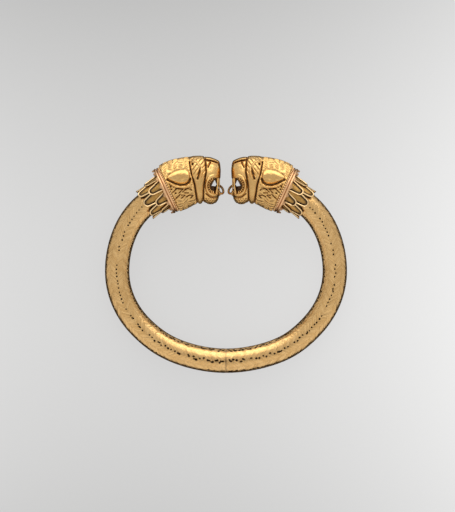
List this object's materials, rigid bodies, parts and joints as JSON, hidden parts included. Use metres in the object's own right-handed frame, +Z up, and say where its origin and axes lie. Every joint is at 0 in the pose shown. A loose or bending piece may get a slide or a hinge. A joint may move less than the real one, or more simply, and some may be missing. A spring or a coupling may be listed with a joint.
{
  "type": "bracelet",
  "caption": "Rigid oval open bangle of woven gold tube with facing lion-head ends, petal sleeves, neck bands and a small ring in each mouth.",
  "frame": {"origin": "on the surface it rests on, under the middle of its box", "axes": "+X across the oval from the left head to the right, +Y from the closed side towards the heads, +Z up"},
  "size_m": [0.0768, 0.0688, 0.0156],
  "materials": {
    "woven_gold": "satin gold of fine woven wire",
    "petal_gold": "satin gold wire over darker gold floors",
    "wire_gold": "bright gold wire",
    "chased_gold": "satin chased gold, dark in the hollows"
  },
  "bodies": {
    "root": {"hoop": "woven_gold", "left_petal_sleeve": "petal_gold", "left_neck_band": "wire_gold", "left_lion_head": "chased_gold", "left_mouth_ring": "wire_gold", "right_petal_sleeve": "petal_gold", "right_neck_band": "wire_gold", "right_lion_head": "chased_gold", "right_mouth_ring": "wire_gold"}
  },
  "joints": []
}
